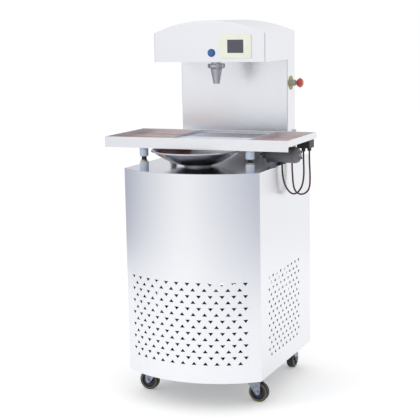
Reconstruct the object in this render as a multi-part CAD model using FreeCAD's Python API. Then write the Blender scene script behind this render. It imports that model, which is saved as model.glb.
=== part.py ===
import FreeCAD, Part
import math
import os

os.makedirs("parts", exist_ok=True)

V = FreeCAD.Vector
Z = V(0, 0, 1)

# A free-standing chocolate tempering machine. X runs to the viewer's right, -Y is the front, +Z is up.
# The origin lies on the floor under the middle of the whole machine. All sizes are in millimetres.

# Sheet metal
sheet = 1.5                   # panels and housings
plate = 2.0                   # deck, table floor and covers
flange = 18.0                 # folded returns of the panels
bend = 4.0                    # outer radius of the bends of the column and the head
soft_edge = 1.2               # rounding of the table rim's top edges

# Cabinet
cabinet_width = 570.0
cabinet_side_depth = 620.0    # front corners to back
bow_rise = 108.0              # how far the front bows out past its corners
cabinet_base_z = 112.0
cabinet_top_z = 931.0

pan_height = 30.0
frame_leg = 30.0
cover_screw_radius = 2.4
cover_screw_length = 14.0
countersink_gap = 0.1

# Perforations: rows of small triangles, alternately point down and point up
hole_pitch = 45.5             # along the sheet
hole_row_pitch = 48.6         # from one row of point-down holes to the next
hole_row_offset = 20.5        # from a point-down row to the point-up row under it
hole_base = 20.0
hole_height = 12.5
hole_top_z = 504.0
hole_rows = 7
front_columns = 12
side_columns = 9
side_first_column = 98.0      # behind the front corner

# Column and head, one inverted L in side view
column_width = 476.0
column_height = 408.0
column_depth = 92.0
column_setback = 56.0         # cabinet back to column back
head_overhang = 269.0         # column front to head front
head_side_height = 114.0
head_arch_rise = 49.0
column_foot_width = 9.5       # upright bars that stiffen the column's foot
column_foot_depth = 18.0
column_foot_height = 113.0

# Vibrating table
table_width = 774.0
table_depth = 358.0
table_setback = 35.0          # cabinet front corners to table front
table_height = 120.0          # deck to the table's rim
fascia_height = 43.0
rim_height = 25.0
well_depth = 19.0
left_divider_x = -125.0
right_divider_x = 215.0
divider_height = 16.0
mould_plate_depth = 158.0
mould_seat = 12.0             # ledge that carries the mould plate and the grate
mould_height = 10.0
grate_bar = 5.0
grate_pitch = 12.0
lift_gap = 1.0                # play round the lift-out pieces
rail_width = 40.0
rail_height = 16.0

# Rubber buffers that carry the table
buffer_x = 225.0
buffer_front = 23.0           # table front to the front buffers
buffer_back = 48.0            # table back to the rear buffers
buffer_radius = 17.5
buffer_foot_height = 23.0
buffer_neck_height = 20.0
buffer_neck_radius = 10.0
buffer_nut_radius = 14.0
buffer_nut_height = 6.0

# Bowl
bowl_x = -28.0
bowl_setback = 140.0          # cabinet front corners to bowl centre
bowl_radius = 185.0
bowl_bottom_radius = 60.0
bowl_depth = 62.0
bowl_lift = 5.0               # thickness of the heated collar under it
bowl_rim_radius = 3.0
wall_steps = 9
bead_steps = 12
outlet_radius = 22.0          # bore of the bowl outlet and the suction pipe
pipe_wall = 2.0
pipe_clearance = 0.5          # round the pipes where they pass through sheet

# Pump: a screw turning in the upright tempering tube
auger_tube_bore = 34.0
auger_tube_wall = 4.0
auger_tube_base_z = 560.0
auger_tube_top = 12.0         # above the head's underside
auger_gap = 0.3
auger_shaft_radius = 11.0
auger_pitch = 74.0
auger_turns = 6.0
auger_flight = 5.0
suction_z = 700.0
bend_radius = 45.0
gearbox_size = 110.0
gearbox_height = 120.0
gearbox_corner = 12.0
drive_motor_radius = 52.0
drive_motor_length = 170.0

# Delivery pipe and spout
spout_back = 190.0            # column front to spout
delivery_bore = 15.0
delivery_bend = 30.0
delivery_rise = 46.0          # above the head's underside
socket_radius = 20.0
socket_reach = 9.0
nut_radius = 35.0
nut_height = 19.0
nut_slots = 6
nozzle_top_radius = 23.0
nozzle_tip_radius = 12.5
nozzle_bore = 10.0
nozzle_length = 62.0
nozzle_tip_length = 14.0

# Controls
screen_bezel_width = 132.0
screen_bezel_height = 93.0
screen_width = 68.0
screen_height = 52.0
screen_x = 116.0
screen_above = 61.5           # head underside to screen centre
bezel_thickness = 6.0
bezel_corner = 5.0
bezel_edge = 1.5
button_x = 12.0
button_above = 36.0
button_radius = 13.0
button_collar_radius = 16.0
button_travel = 3.0
control_gap = 0.3
estop_back = 43.0             # column front to emergency stop
estop_below = 98.0            # head underside to emergency stop
estop_plate_radius = 29.0
estop_collar_radius = 13.0
estop_collar_length = 22.0
estop_stem_radius = 8.0
estop_travel = 6.0
mushroom_radius = 20.0
mushroom_length = 24.0

# Vibrator and wiring under the table
vibrator_x = 206.0            # inner end
vibrator_length = 166.0
vibrator_radius = 32.0
vibrator_setback = 226.0      # cabinet front corners to vibrator axis
vibrator_above = 44.0         # above the deck
cover_bolts = 4
cover_bolt_radius = 5.0
cover_bolt_height = 5.0
cable_diameter = 7.0
gland_radius = 8.0
gland_length = 14.0

# Cooling set
compressor_radius = 78.0
compressor_height = 176.0
compressor_x = 150.0
compressor_setback = 300.0    # cabinet front corners to compressor
compressor_dome = 46.0
compressor_base = 30.0
compressor_foot_height = 14.0
compressor_foot_radius = 13.0
compressor_seam = 4.0
condenser_setback = 10.0
condenser_foot = 20.0
condenser_width = 280.0
condenser_height = 240.0
condenser_depth = 44.0
fin_pitch = 20.0
fan_radius = 104.0
fan_ring = 30.0
fan_blades = 5
fan_hub_radius = 24.0

# Electrical enclosure
control_box_inset = 45.0      # from the cabinet's left side
control_box_setback = 190.0
control_box_width = 210.0
control_box_depth = 120.0
control_box_height = 300.0

# Casters
caster_x = 216.0
caster_front = 92.0           # behind the front corners
wheel_radius = 40.0
wheel_width = 30.0
tread = 10.0
caster_trail = 24.0
caster_plate_size = 84.0
caster_plate_thickness = 3.0
fork_plate = 3.0
fork_gap = 3.0
axle_radius = 4.0
kingpin_radius = 6.0
running_gap = 0.05

# Derived places
back_y = (cabinet_side_depth + bow_rise) / 2
corner_y = back_y - cabinet_side_depth
half_width = cabinet_width / 2
bow_radius = (half_width ** 2 + bow_rise ** 2) / (2 * bow_rise)
bow_centre_y = corner_y - bow_rise + bow_radius
panel_top_z = cabinet_top_z - plate
column_back_y = back_y - column_setback
column_front_y = column_back_y - column_depth
head_front_y = column_front_y - head_overhang
head_bottom_z = cabinet_top_z + column_height
head_corner_z = head_bottom_z + head_side_height
half_column = column_width / 2
arch_radius = (half_column ** 2 + head_arch_rise ** 2) / (2 * head_arch_rise)
table_front_y = corner_y + table_setback
table_back_y = table_front_y + table_depth
table_top_z = cabinet_top_z + table_height
floor_top_z = table_top_z - well_depth
floor_bottom_z = floor_top_z - plate
rail_bottom_z = floor_bottom_z - rail_height
buffer_rows = (table_front_y + buffer_front, table_back_y - buffer_back)
buffer_places = [(x, y) for x in (-buffer_x, buffer_x) for y in buffer_rows]
bowl_y = corner_y + bowl_setback
bowl_bottom_z = cabinet_top_z + bowl_lift
auger_y = (column_front_y + column_back_y) / 2
spout_y = column_front_y - spout_back
nozzle_top_z = head_bottom_z - socket_reach - nut_height
mould_split_y = table_front_y + sheet + mould_plate_depth
estop_y = column_front_y + estop_back
estop_z = head_bottom_z - estop_below
vibrator_y = corner_y + vibrator_setback
vibrator_z = cabinet_top_z + vibrator_above


# ---- small builders -------------------------------------------------------------------------------

def box(x0, x1, y0, y1, z0, z1):
    return Part.makeBox(x1 - x0, y1 - y0, z1 - z0, V(x0, y0, z0))


def rod(radius, start, end):
    along = end - start
    return Part.makeCylinder(radius, along.Length, start, along)


def tube(outer, inner, start, end):
    return rod(outer, start, end).cut(rod(inner, start, end))


def turned(profile, centre, direction=Z):
    """Revolve a closed profile of (radius, height) points about an axis through centre."""
    points = [V(r, 0, h) for r, h in profile]
    solid = Part.Face(Part.makePolygon(points + points[:1])).revolve(V(0, 0, 0), Z, 360)
    solid.Placement = FreeCAD.Placement(centre, FreeCAD.Rotation(Z, direction))
    return solid


def arc_points(centre_r, centre_z, radius, first, last, steps):
    """Points of a turned profile along an arc, with angles in radians from the outward direction."""
    angles = [first + (last - first) * step / steps for step in range(steps + 1)]
    return [(centre_r + radius * math.cos(a), centre_z + radius * math.sin(a)) for a in angles]


def slab(points, along):
    """Extrude a closed outline of points."""
    return Part.Face(Part.makePolygon(points + points[:1])).extrude(along)


def pierced(outline, holes, along):
    """Extrude a flat sheet with many holes in it."""
    return Part.makeFace([outline] + holes, "Part::FaceMakerBullseye").extrude(along)


def prism_nut(radius, height):
    """A plain hexagon standing on z = 0."""
    corners = [V(radius * math.cos(math.radians(60 * k)), radius * math.sin(math.radians(60 * k)), 0) for k in range(6)]
    return slab(corners, V(0, 0, height))


def bent_pipe(points, bend, radius):
    """A round bar along straight runs joined by arcs of one radius."""
    edges = []
    start = points[0]
    for before, corner, after in zip(points, points[1:], points[2:]):
        arrive = (corner - before).normalize()
        leave = (after - corner).normalize()
        turn = arrive.getAngle(leave)
        set_back = bend * math.tan(turn / 2)
        first = corner - arrive * set_back
        last = corner + leave * set_back
        inward = (leave - arrive).normalize()
        middle = corner + inward * (bend / math.cos(turn / 2) - bend)
        edges.append(Part.LineSegment(start, first).toShape())
        edges.append(Part.Arc(first, middle, last).toShape())
        start = last
    edges.append(Part.LineSegment(start, points[-1]).toShape())
    section = Part.Face(Part.Wire(Part.makeCircle(radius, points[0], points[1] - points[0])))
    return Part.Wire(edges).makePipe(section)


def at_depth(edge, y):
    return all(abs(vertex.Y - y) < 0.01 for vertex in edge.Vertexes)


def at_height(edge, z):
    return all(abs(vertex.Z - z) < 0.01 for vertex in edge.Vertexes)


def runs_along(edge, direction):
    return abs(edge.tangentAt(edge.FirstParameter).dot(direction)) > 0.99


def rounded(solid, radius, wanted):
    """Fillet the edges that pass a test."""
    return solid.makeFillet(radius, [edge for edge in solid.Edges if wanted(edge)])


def at_places(solid, places):
    """Copies of one solid moved to each (x, y)."""
    return [solid.translated(V(x, y, 0)) for x, y in places]


def export(name, *solids):
    loose = [s for solid in solids for s in solid.Solids]
    shape = loose[0] if len(loose) == 1 else Part.makeCompound(loose)
    shape.exportStep("parts/" + name + ".step")


# ---- cabinet --------------------------------------------------------------------------------------

def plan_outline(inset, z):
    """The cabinet seen from above: straight sides and back, bowed front."""
    x = half_width - inset
    radius = bow_radius - inset
    front = bow_centre_y - math.sqrt(radius ** 2 - x ** 2)
    corners = [V(x, front, z), V(x, back_y - inset, z), V(-x, back_y - inset, z), V(-x, front, z)]
    edges = [Part.LineSegment(a, b).toShape() for a, b in zip(corners, corners[1:])]
    edges.append(Part.Arc(corners[3], V(0, bow_centre_y - radius, z), corners[0]).toShape())
    return Part.Wire(edges)


def plan_slab(inset, z0, z1):
    return Part.Face(plan_outline(inset, z0)).extrude(V(0, 0, z1 - z0))


def triangle(points_down):
    """One perforation about its own centre, as (along, height) corners."""
    sign = 1.0 if points_down else -1.0
    return [(-hole_base / 2, sign * hole_height / 2), (0.0, -sign * hole_height / 2),
            (hole_base / 2, sign * hole_height / 2)]


def hole_rows_of(columns):
    """Every perforation of a panel: (steps from the first column, height, points down)."""
    for row in range(hole_rows):
        z = hole_top_z - row * hole_row_pitch
        for column in range(columns):
            yield column, z, True
        for column in range(columns - 1):
            yield column + 0.5, z - hole_row_offset, False


def front_panel():
    skin = plan_slab(0, cabinet_base_z, panel_top_z).cut(plan_slab(sheet, cabinet_base_z, panel_top_z))
    skin = skin.common(box(-half_width, half_width, -back_y, corner_y, cabinet_base_z, panel_top_z))
    for side in (-1, 1):
        inner = side * (half_width - 2 * sheet)
        outer = side * (half_width - sheet)
        x0, x1 = sorted((inner, outer))
        skin = skin.fuse(box(x0, x1, corner_y - sheet, corner_y + flange, cabinet_base_z + pan_height, panel_top_z))
    step = math.degrees(hole_pitch / bow_radius)
    cutters = []
    for column, z, points_down in hole_rows_of(front_columns):
        corners = [V(a, -bow_radius - sheet, h + z) for a, h in triangle(points_down)]
        cutter = slab(corners, V(0, 3 * sheet, 0))
        cutter.rotate(V(0, 0, 0), Z, (column - (front_columns - 1) / 2) * step)
        cutters.append(cutter.translated(V(0, bow_centre_y, 0)))
    return skin.cut(Part.makeCompound(cutters)).removeSplitter()


def side_panel(side):
    outer = side * half_width
    y0, y1 = corner_y, back_y - sheet
    z0, z1 = cabinet_base_z, panel_top_z
    corners = [V(outer, y0, z0), V(outer, y1, z0), V(outer, y1, z1), V(outer, y0, z1)]
    holes = []
    for column, z, points_down in hole_rows_of(side_columns):
        y = corner_y + side_first_column + column * hole_pitch
        points = [V(outer, y + a, z + h) for a, h in triangle(points_down)]
        holes.append(Part.makePolygon(points + points[:1]))
    outline = Part.makePolygon(corners + corners[:1])
    skin = pierced(outline, holes, V(-side * sheet, 0, 0))
    x0, x1 = sorted((outer - side * sheet, outer - side * flange))
    top_return = box(x0, x1, y0 + flange + sheet, y1, z1 - sheet, z1)
    return skin.fuse(top_return)


def back_panel():
    z0, z1 = cabinet_base_z, panel_top_z
    x = half_width
    skin = box(-x, x, back_y - sheet, back_y, z0, z1)
    slot = box(-70, 70, back_y - 2 * sheet, back_y + sheet, -4, 4)
    slots = [slot.translated(V(dx, 0, hole_top_z - row * 24.0)) for dx in (-120, 120) for row in range(8)]
    return skin.cut(Part.makeCompound(slots + cover_screw_holes(countersink_gap)))


def cover_screw_places():
    """Screws that hold the cabinet's back panel."""
    x = half_width - flange - 6.0
    heights = (cabinet_base_z + 40.0, (cabinet_base_z + panel_top_z) / 2, panel_top_z - 40.0)
    return [V(side * x, back_y, z) for side in (-1, 1) for z in heights]


def cover_screw_holes(gap):
    """Countersunk screws, flush with the panel, or with a gap all round, the holes they pass through."""
    shank = cover_screw_radius + gap
    head = cover_screw_radius + sheet + gap
    profile = [(0, -cover_screw_length), (shank, -cover_screw_length), (shank, -sheet), (head, 0), (0, 0)]
    return [turned(profile, place, V(0, 1, 0)) for place in cover_screw_places()]


def base_pan():
    top = cabinet_base_z + pan_height
    pan = plan_slab(sheet, cabinet_base_z, top)
    return pan.cut(plan_slab(sheet + plate, cabinet_base_z + plate, top))


def angle_bar(x, y, toward_x, toward_y, z0, z1):
    """An upright angle with its heel at (x, y)."""
    leg = frame_leg
    thick = 3.0
    xs = sorted((x, x + toward_x * leg))
    ys = sorted((y, y + toward_y * leg))
    hx = sorted((x + toward_x * thick, x + toward_x * (leg + 1)))
    hy = sorted((y + toward_y * thick, y + toward_y * (leg + 1)))
    return box(xs[0], xs[1], ys[0], ys[1], z0, z1).cut(box(hx[0], hx[1], hy[0], hy[1], z0, z1))


def chassis_frame():
    """Four upright angles on the base pan and the rails that carry the deck."""
    x = half_width - sheet - plate
    front = corner_y + flange + sheet
    rear = back_y - sheet - plate
    z0, z1 = cabinet_base_z + plate, panel_top_z - frame_leg
    bars = [angle_bar(s * x, y, -s, t, z0, z1) for s in (-1, 1) for y, t in ((front, 1), (rear, -1))]
    top = panel_top_z - sheet
    for s in (-1, 1):
        x0, x1 = sorted((s * x, s * (x - frame_leg)))
        bars.append(box(x0, x1, front, rear, z1, top))
    inner = x - frame_leg
    bars.append(box(-inner, inner, front, front + 20.0, z1, panel_top_z))
    bars.append(box(-inner, inner, column_back_y, column_back_y + 20.0, z1, panel_top_z))
    holes = Part.makeCompound(cover_screw_holes(countersink_gap))
    return [bar.cut(holes) for bar in bars]


def deck_plate():
    """The work deck, with openings for the suction pipe and the column's services."""
    deck = plan_slab(0, panel_top_z, cabinet_top_z)
    passage = outlet_radius + pipe_wall + pipe_clearance
    deck = deck.cut(rod(passage, V(bowl_x, bowl_y, panel_top_z), V(bowl_x, bowl_y, cabinet_top_z)))
    inside = half_column - 30.0
    return deck.cut(box(-inside, inside, column_front_y + 8.0, column_back_y - 6.0, panel_top_z, cabinet_top_z))


# ---- column and head ------------------------------------------------------------------------------

def column_shell():
    """The column's front and cheeks, with feet folded inwards on to the deck and a bar outside each cheek's foot."""
    x = half_column
    shell = box(-x, x, column_front_y, column_back_y, cabinet_top_z, head_bottom_z)
    shell = rounded(shell, bend, lambda e: at_depth(e, column_front_y) and runs_along(e, Z))
    front = column_front_y + sheet
    inner = box(-x + sheet, x - sheet, front, column_back_y, cabinet_top_z, head_bottom_z)
    shell = shell.cut(rounded(inner, bend - sheet, lambda e: at_depth(e, front) and runs_along(e, Z)))
    foot_top = cabinet_top_z + column_foot_height
    for side in (-1, 1):
        x0, x1 = sorted((side * (x - sheet), side * (x - flange)))
        fold = box(x0, x1, column_front_y + bend, column_back_y, cabinet_top_z, cabinet_top_z + sheet)
        x0, x1 = sorted((side * x, side * (x + column_foot_width)))
        bar = box(x0, x1, column_back_y - column_foot_depth, column_back_y, cabinet_top_z, foot_top)
        shell = shell.fuse([fold, bar])
    hole = rod(estop_stem_radius + 3.0, V(x - 5, estop_y, estop_z), V(x + 5, estop_y, estop_z))
    return shell.cut(hole)


def head_outline(inset, y, floor_z):
    """The head seen from the front: upright cheeks under a shallow arch."""
    x = half_column - inset
    radius = arch_radius - inset
    centre_z = head_corner_z + head_arch_rise - arch_radius
    corner_z = centre_z + math.sqrt(radius ** 2 - x ** 2)
    points = [V(-x, y, corner_z), V(-x, y, floor_z), V(x, y, floor_z), V(x, y, corner_z)]
    edges = [Part.LineSegment(a, b).toShape() for a, b in zip(points, points[1:])]
    edges.append(Part.Arc(points[3], V(0, y, centre_z + radius), points[0]).toShape())
    return Part.Face(Part.Wire(edges))


def head_shell():
    depth = column_back_y - head_front_y
    shell = head_outline(0, head_front_y, head_bottom_z).extrude(V(0, depth, 0))
    shell = rounded(shell, bend, lambda e: at_depth(e, head_front_y) and not at_height(e, head_bottom_z))
    front, low = head_front_y + sheet, head_bottom_z - 1.0
    inside = head_outline(sheet, front, low).extrude(V(0, depth, 0))
    shell = shell.cut(rounded(inside, bend - sheet, lambda e: at_depth(e, front) and not at_height(e, low)))
    z = head_bottom_z + screen_above
    half_w = screen_width / 2 + 8.0
    half_h = screen_height / 2 + 8.0
    window = box(screen_x - half_w, screen_x + half_w, head_front_y - 1, head_front_y + 3, z - half_h, z + half_h)
    z = head_bottom_z + button_above
    bore = rod(button_radius + 1.5, V(button_x, head_front_y - 1, z), V(button_x, head_front_y + 3, z))
    return shell.cut(window).cut(bore)


def head_underside():
    """The plate under the head, with its edges turned up inside the cheeks."""
    x = half_column - sheet
    front = head_front_y + sheet
    z = head_bottom_z
    tray = box(-x, x, front, column_front_y, z, z + flange)
    tray = rounded(tray, bend - sheet, lambda e: at_depth(e, front) and runs_along(e, Z))
    tray = tray.cut(box(-x + sheet, x - sheet, front + sheet, column_front_y - sheet, z + sheet, z + flange))
    return tray.cut(rod(socket_radius + pipe_clearance, V(0, spout_y, z - 1), V(0, spout_y, z + 5)))


def housing_back_cover():
    """One flat cover over the back of the column and the head."""
    head = head_outline(0, column_back_y, head_bottom_z).extrude(V(0, sheet, 0))
    column = box(-half_column, half_column, column_back_y, column_back_y + sheet, cabinet_top_z, head_bottom_z)
    cover = head.fuse(column).removeSplitter()
    slot = box(-60, 60, column_back_y - 1, column_back_y + 3, -3, 3)
    vents = [slot.translated(V(0, 0, head_bottom_z + 24.0 + row * 18.0)) for row in range(4)]
    return cover.cut(Part.makeCompound(vents))


# ---- spout and delivery ---------------------------------------------------------------------------

def delivery_pipe():
    """From the top of the tempering tube forward through the head to the threaded socket."""
    start_z = head_bottom_z + auger_tube_top
    run_z = head_bottom_z + delivery_rise
    points = [V(0, auger_y, start_z), V(0, auger_y, run_z), V(0, spout_y, run_z), V(0, spout_y, head_bottom_z)]
    bore = bent_pipe(points, delivery_bend, delivery_bore)
    skin = bent_pipe(points, delivery_bend, delivery_bore + pipe_wall)
    lip = rod(auger_tube_bore, points[0], points[0] + V(0, 0, 4.0))
    socket_top = V(0, spout_y, head_bottom_z + sheet)
    collar = rod(socket_radius + 6.0, socket_top, socket_top + V(0, 0, 6.0))
    neck = rod(socket_radius, V(0, spout_y, head_bottom_z - socket_reach - 6.0), socket_top)
    open_end = rod(delivery_bore, V(0, spout_y, head_bottom_z - socket_reach - 8.0), socket_top)
    return skin.fuse([lip, collar, neck]).cut(bore.fuse(open_end))


def spout_nut():
    """A round union nut with slots for a hook spanner."""
    top = head_bottom_z - socket_reach
    profile = [(socket_radius, top), (nut_radius - 3, top), (nut_radius, top - 3), (nut_radius, top - nut_height + 4),
               (nut_radius - 4, top - nut_height), (nozzle_top_radius, top - nut_height),
               (nozzle_top_radius, top - 9.0), (socket_radius, top - 9.0)]
    nut = turned(profile, V(0, spout_y, 0))
    slot = box(nut_radius - 4, nut_radius + 4, -6, 6, top - nut_height - 1, top + 1)
    slots = []
    for index in range(nut_slots):
        cutter = slot.copy()
        cutter.rotate(V(0, 0, 0), Z, 360.0 * index / nut_slots)
        slots.append(cutter.translated(V(0, spout_y, 0)))
    return nut.cut(Part.makeCompound(slots))


def spout_nozzle():
    """A turned cone, wide under the nut and narrow at its straight tip."""
    top = head_bottom_z - socket_reach - 6.0
    shoulder = nozzle_top_z
    tip = shoulder - nozzle_length
    profile = [(delivery_bore, top), (socket_radius, top), (socket_radius, top - 3.0),
               (nozzle_top_radius, top - 3.0), (nozzle_top_radius, shoulder),
               (nozzle_top_radius, shoulder - 5.0), (nozzle_tip_radius, tip), (nozzle_bore, tip),
               (nozzle_bore, tip + nozzle_tip_length), (delivery_bore, shoulder)]
    return turned(profile, V(0, spout_y, 0))


# ---- controls -------------------------------------------------------------------------------------

def screen_bezel():
    z = head_bottom_z + screen_above
    w, h = screen_bezel_width / 2, screen_bezel_height / 2
    frame = box(screen_x - w, screen_x + w, head_front_y - bezel_thickness, head_front_y, z - h, z + h)
    frame = rounded(frame, bezel_corner, lambda e: runs_along(e, V(0, 1, 0)))
    frame = rounded(frame, bezel_edge, lambda e: at_depth(e, head_front_y - bezel_thickness))
    w, h = screen_width / 2, screen_height / 2
    return frame.cut(box(screen_x - w, screen_x + w, head_front_y - 9, head_front_y + 1, z - h, z + h))


def screen_glass():
    z = head_bottom_z + screen_above
    w, h = screen_width / 2, screen_height / 2
    pane = box(screen_x - w, screen_x + w, head_front_y - bezel_thickness + 1.5, head_front_y, z - h, z + h)
    w, h = w + 7.5, h + 7.5
    return pane.fuse(box(screen_x - w, screen_x + w, head_front_y, head_front_y + 22.0, z - h, z + h))


def button_collar():
    z = head_bottom_z + button_above
    inner = button_radius + control_gap
    profile = [(inner, -8), (button_radius + 1.5, -8), (button_radius + 1.5, 0), (button_collar_radius, 0),
               (button_collar_radius, 2), (button_collar_radius - 1, 3), (inner, 3)]
    return turned(profile, V(button_x, head_front_y, z), V(0, -1, 0))


def dispense_button():
    """A round cap on a collared stem; it sits proud of its ring by a little more than its travel."""
    z = head_bottom_z + button_above
    profile = [(0, -12), (5, -12), (5, -8), (button_radius, -8 + button_travel), (button_radius, 5.5),
               (button_radius - 1.5, 7), (0, 7)]
    return turned(profile, V(button_x, head_front_y, z), V(0, -1, 0))


def estop_plate():
    centre = V(half_column, estop_y, estop_z)
    return turned([(estop_collar_radius, 0), (estop_plate_radius, 0), (estop_plate_radius, 1.5),
                   (estop_collar_radius, 1.5)], centre, V(1, 0, 0))


def estop_collar():
    inner = estop_stem_radius + control_gap
    length = estop_collar_length
    profile = [(inner, -20), (estop_stem_radius + 3, -20), (estop_stem_radius + 3, 0), (estop_collar_radius, 0),
               (estop_collar_radius, length - 3), (estop_collar_radius - 3, length), (inner, length)]
    return turned(profile, V(half_column, estop_y, estop_z), V(1, 0, 0))


def estop_stem():
    """The sliding core of the emergency stop; the head turns on its pin."""
    start = estop_collar_length + estop_travel + 0.5
    profile = [(0, -24), (estop_stem_radius, -24), (estop_stem_radius, start), (5, start), (5, start + 10), (0, start + 10)]
    return turned(profile, V(half_column, estop_y, estop_z), V(1, 0, 0))


def estop_mushroom():
    start = estop_collar_length + estop_travel + 0.5
    end = start + mushroom_length
    bore = 5 + running_gap
    rim = mushroom_radius
    profile = [(bore, start), (rim - 7, start), (rim - 1, start + 9), (rim, start + 12), (rim - 1.5, start + 16),
               (rim - 8, end - 1), (0, end), (0, start + 10), (bore, start + 10)]
    return turned(profile, V(half_column, estop_y, estop_z), V(1, 0, 0))


# ---- bowl, collar and suction pipe ------------------------------------------------------------------

def bowl():
    """A shallow spun bowl: flat bottom with an outlet, a wall that is one long arc, and a beaded rim."""
    r0, bead = bowl_bottom_radius, bowl_rim_radius
    rim_r, rim_z = bowl_radius - bead / 2, bowl_depth - bead
    above = (rim_r ** 2 - r0 ** 2 + rim_z ** 2) / (2 * rim_z)
    outer = math.hypot(r0, above)
    inner = outer - sheet
    rim_angle = math.atan2(rim_z - above, rim_r)
    outer_end = rim_angle - 2 * math.asin(bead / (2 * outer))
    inner_end = rim_angle - math.acos((outer ** 2 + inner ** 2 - bead ** 2) / (2 * outer * inner))
    outside = arc_points(0, above, outer, math.atan2(-above, r0), outer_end, wall_steps)
    inside = arc_points(0, above, inner, inner_end, -math.acos(r0 / inner), wall_steps)
    bead_start = math.atan2(outside[-1][1] - rim_z, outside[-1][0] - rim_r)
    bead_end = math.atan2(inside[0][1] - rim_z, inside[0][0] - rim_r) + 2 * math.pi
    rim = arc_points(rim_r, rim_z, bead, bead_start, bead_end, bead_steps)
    profile = [(outlet_radius, 0)] + outside + rim[1:-1] + inside[:-1] + [(r0, sheet), (outlet_radius, sheet)]
    return turned(profile, V(bowl_x, bowl_y, bowl_bottom_z))


def bowl_collar():
    """The heated ring that the bowl stands on."""
    inner = outlet_radius + pipe_wall + pipe_clearance
    return tube(bowl_bottom_radius - 6.0, inner, V(bowl_x, bowl_y, cabinet_top_z), V(bowl_x, bowl_y, bowl_bottom_z))


def suction_pipe():
    """Carries the chocolate from the bowl outlet down and back to the foot of the tempering tube."""
    top = V(bowl_x, bowl_y, bowl_bottom_z)
    corner = V(bowl_x, bowl_y, suction_z)
    reach = auger_tube_bore + auger_tube_wall + 20.0
    toward = (V(0, auger_y, suction_z) - corner).normalize()
    end = V(0, auger_y, suction_z) - toward * reach
    points = [top, corner, end]
    skin = bent_pipe(points, bend_radius, outlet_radius + pipe_wall)
    return skin.cut(bent_pipe(points, bend_radius, outlet_radius))


# ---- pump -------------------------------------------------------------------------------------------

def auger_tube():
    """The upright tempering tube with its foot flange, side inlet and end ring."""
    outer = auger_tube_bore + auger_tube_wall
    z0, z1 = auger_tube_base_z, head_bottom_z + auger_tube_top
    axis = V(0, auger_y, 0)
    body = rod(outer, axis + V(0, 0, z0), axis + V(0, 0, z1))
    foot = rod(outer + 14.0, axis + V(0, 0, z0), axis + V(0, 0, z0 + 8.0))
    centre = V(0, auger_y, suction_z)
    toward = (V(bowl_x, bowl_y, suction_z) - centre).normalize()
    reach = centre + toward * (outer + 20.0)
    stub = rod(outlet_radius + pipe_wall, centre, reach)
    lip = rod(outlet_radius + pipe_wall + 5.0, reach - toward * 5.0, reach)
    body = body.fuse([foot, stub, lip])
    body = body.cut(rod(auger_tube_bore, axis + V(0, 0, z0 + 8.0), axis + V(0, 0, z1)))
    body = body.cut(rod(auger_shaft_radius + auger_gap, axis + V(0, 0, z0), axis + V(0, 0, z0 + 8.0)))
    return body.cut(rod(outlet_radius, centre, reach))


def auger_screw():
    """A shaft with one long helical flight, turning just clear of the tube."""
    z0 = auger_tube_base_z + 20.0
    height = auger_pitch * auger_turns
    outer = auger_tube_bore - auger_gap
    helix = Part.makeHelix(auger_pitch, height, auger_shaft_radius)
    half = auger_flight / 2
    inner = auger_shaft_radius - 3.0
    section = Part.makePolygon([V(inner, 0, -half), V(outer, 0, -half), V(outer, 0, half), V(inner, 0, half),
                                V(inner, 0, -half)])
    sweep = Part.BRepOffsetAPI.MakePipeShell(Part.Wire(helix))
    sweep.setFrenetMode(True)
    sweep.add(section)
    sweep.build()
    sweep.makeSolid()
    flight = sweep.shape().translated(V(0, auger_y, z0 + auger_flight))
    shaft = rod(auger_shaft_radius, V(0, auger_y, auger_tube_base_z), V(0, auger_y, z0 + height + 20.0))
    return shaft.fuse(flight)


def gear_motor():
    """A right-angle gearbox under the tube with its motor lying to the left."""
    half = gearbox_size / 2
    top = auger_tube_base_z
    low = top - gearbox_height
    case = box(-half, half, auger_y - half * 0.8, auger_y + half * 0.8, low, top)
    case = rounded(case, gearbox_corner, lambda e: runs_along(e, Z))
    z = top - gearbox_height / 2
    motor = rod(drive_motor_radius, V(-half - drive_motor_length, auger_y, z), V(-half, auger_y, z))
    cowl = rod(drive_motor_radius + 4.0, V(-half - drive_motor_length, auger_y, z),
               V(-half - drive_motor_length + 40.0, auger_y, z))
    return case.fuse([motor, cowl])


def motor_stand():
    """A table of three plates from the base pan up to the gearbox."""
    half = gearbox_size / 2
    top = auger_tube_base_z - gearbox_height
    z0 = cabinet_base_z + plate
    depth = half * 0.8
    t = 4.0
    pieces = [box(-half, half, auger_y - depth, auger_y + depth, top - t, top)]
    for side in (-1, 1):
        x0, x1 = sorted((side * half, side * (half - t)))
        cheek = box(x0, x1, auger_y - depth, auger_y + depth, z0, top - t)
        x0, x1 = sorted((side * half, side * (half + 25.0)))
        pieces.append(cheek.fuse(box(x0, x1, auger_y - depth, auger_y + depth, z0, z0 + t)))
    return pieces


# ---- cooling set --------------------------------------------------------------------------------------

compressor_place = V(compressor_x, corner_y + compressor_setback, cabinet_base_z + plate)
condenser_y = corner_y + condenser_setback
condenser_z = cabinet_base_z + plate + condenser_foot


def compressor():
    """A hermetic can with domed ends and a welded seam, on three feet."""
    r, h = compressor_radius, compressor_height
    low, base, dome, seam = compressor_foot_height, compressor_base, compressor_dome, compressor_seam
    middle = h / 2
    profile = [(0, low), (r - base, low), (r - base / 4, low + base / 3), (r, low + base), (r, middle),
               (r + seam, middle), (r + seam, middle + seam), (r, middle + seam), (r, h - dome),
               (r - dome / 4, h - dome / 2), (r - dome * 0.75, h - dome / 8), (0, h)]
    can = turned(profile, compressor_place)
    for index in range(3):
        angle = math.radians(90 + 120 * index)
        foot = compressor_place + V(math.cos(angle), math.sin(angle), 0) * (r - seam)
        can = can.fuse(rod(compressor_foot_radius, foot, foot + V(0, 0, low + base / 2)))
    return can


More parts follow.
